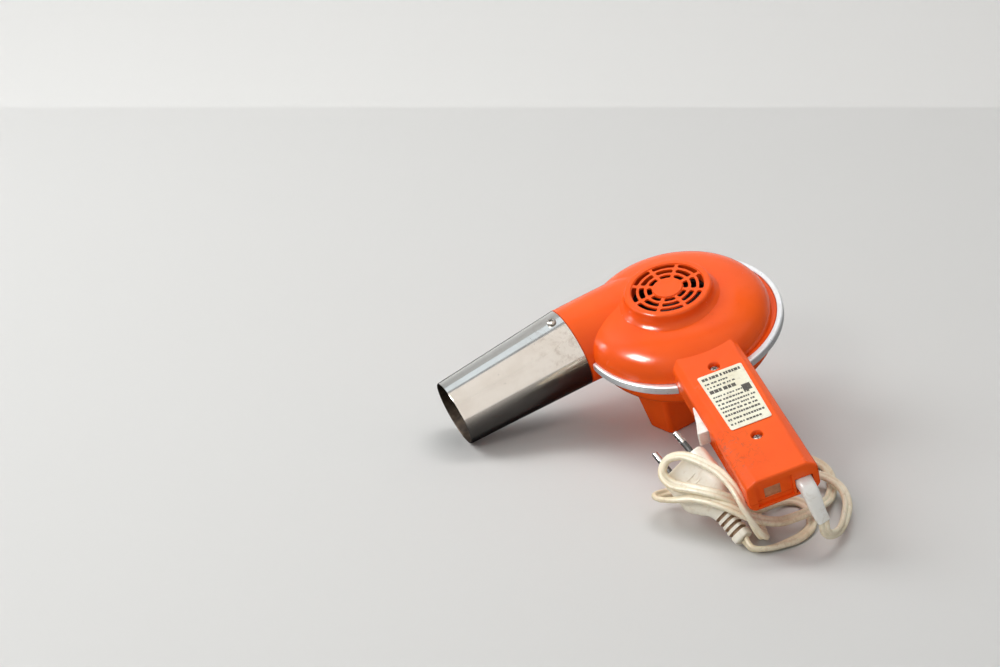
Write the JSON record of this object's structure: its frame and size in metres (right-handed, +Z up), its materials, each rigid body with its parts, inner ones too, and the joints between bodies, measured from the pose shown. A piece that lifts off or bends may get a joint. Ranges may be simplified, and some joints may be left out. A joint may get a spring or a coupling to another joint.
{
  "type": "hand-held hair dryer",
  "caption": "Hand-held hair dryer with a round fan casing, a chromed outlet tube, a flat handle with a rocker switch and a tied twin cord with a plug",
  "frame": {"origin": "on the surface under the dryer, below the middle of the box around it without its free cord and plug", "axes": "+Z up. The dryer lies in its resting pose: outlet tube towards -X and a little -Y, handle towards -Y, intake grille facing up."},
  "size_m": [0.2616, 0.2504, 0.1093],
  "materials": {
    "orange_plastic": "gloss",
    "chrome": "polished",
    "band_metal": "satin",
    "steel": "satin",
    "brass": "satin",
    "copper": "satin",
    "iron": "matte",
    "white_plastic": "satin",
    "cord_plastic": "satin",
    "mica": "satin",
    "black_plastic": "matte",
    "carbon": "matte",
    "label": "satin",
    "wire_black": "satin"
  },
  "bodies": {
    "casing": {"brush_holder_1": "brass", "brush_holder_2": "brass", "carbon_brush_1": "carbon", "carbon_brush_2": "carbon", "clamp_screw_1": "steel", "clamp_screw_2": "steel", "cord": "cord_plastic", "cord_clamp": "white_plastic", "cord_inner": "cord_plastic", "field_coil_1": "copper", "field_coil_2": "copper", "foot_screw_1": "steel", "foot_screw_2": "steel", "front_bearing": "brass", "front_bracket": "steel", "front_shell": "orange_plastic", "handle_screw_1": "steel", "handle_screw_2": "steel", "heater_coil_high": "steel", "heater_coil_low": "steel", "mica_plate_a": "mica", "mica_plate_b": "mica", "mica_sleeve": "mica", "motor_screw_1": "steel", "motor_screw_2": "steel", "nozzle_screw_1": "steel", "nozzle_screw_2": "steel", "nozzle_tube": "chrome", "outlet_guard": "black_plastic", "pin_sleeve_1": "black_plastic", "pin_sleeve_2": "black_plastic", "plug_body": "cord_plastic", "plug_pin_1": "chrome", "plug_pin_2": "chrome", "rating_label": "label", "rear_bearing": "brass", "rear_bracket": "steel", "rear_shell": "orange_plastic", "stand_foot": "orange_plastic", "stator_core": "iron", "strain_relief": "white_plastic", "switch_body": "black_plastic", "switch_pin": "steel", "switch_terminal_1": "brass", "switch_terminal_2": "brass", "switch_terminal_3": "brass", "thermal_cutout": "brass", "trim_band_long": "band_metal", "trim_band_short": "band_metal", "wire_heater": "wire_black", "wire_live": "wire_black", "wire_motor": "wire_black", "wire_neutral": "wire_black"},
    "rotor": {"fan_impeller": "black_plastic", "motor_shaft": "steel", "armature_core": "iron", "armature_windings": "copper", "commutator": "copper"},
    "rocker": {"switch_rocker": "white_plastic"}
  },
  "joints": [
    {"name": "fan_spin", "type": "hinge", "parent": "casing", "child": "rotor", "pos_m": [0.03771, 0.05668, 0.06874], "axis": [-0.2098, -0.2284, 0.9507], "continuous": true},
    {"name": "switch_rocker_tilt", "type": "hinge", "parent": "casing", "child": "rocker", "pos_m": [0.05203, -0.04875, 0.05235], "axis": [-0.2098, -0.2284, 0.9507], "range_deg": [0, 16]}
  ]
}
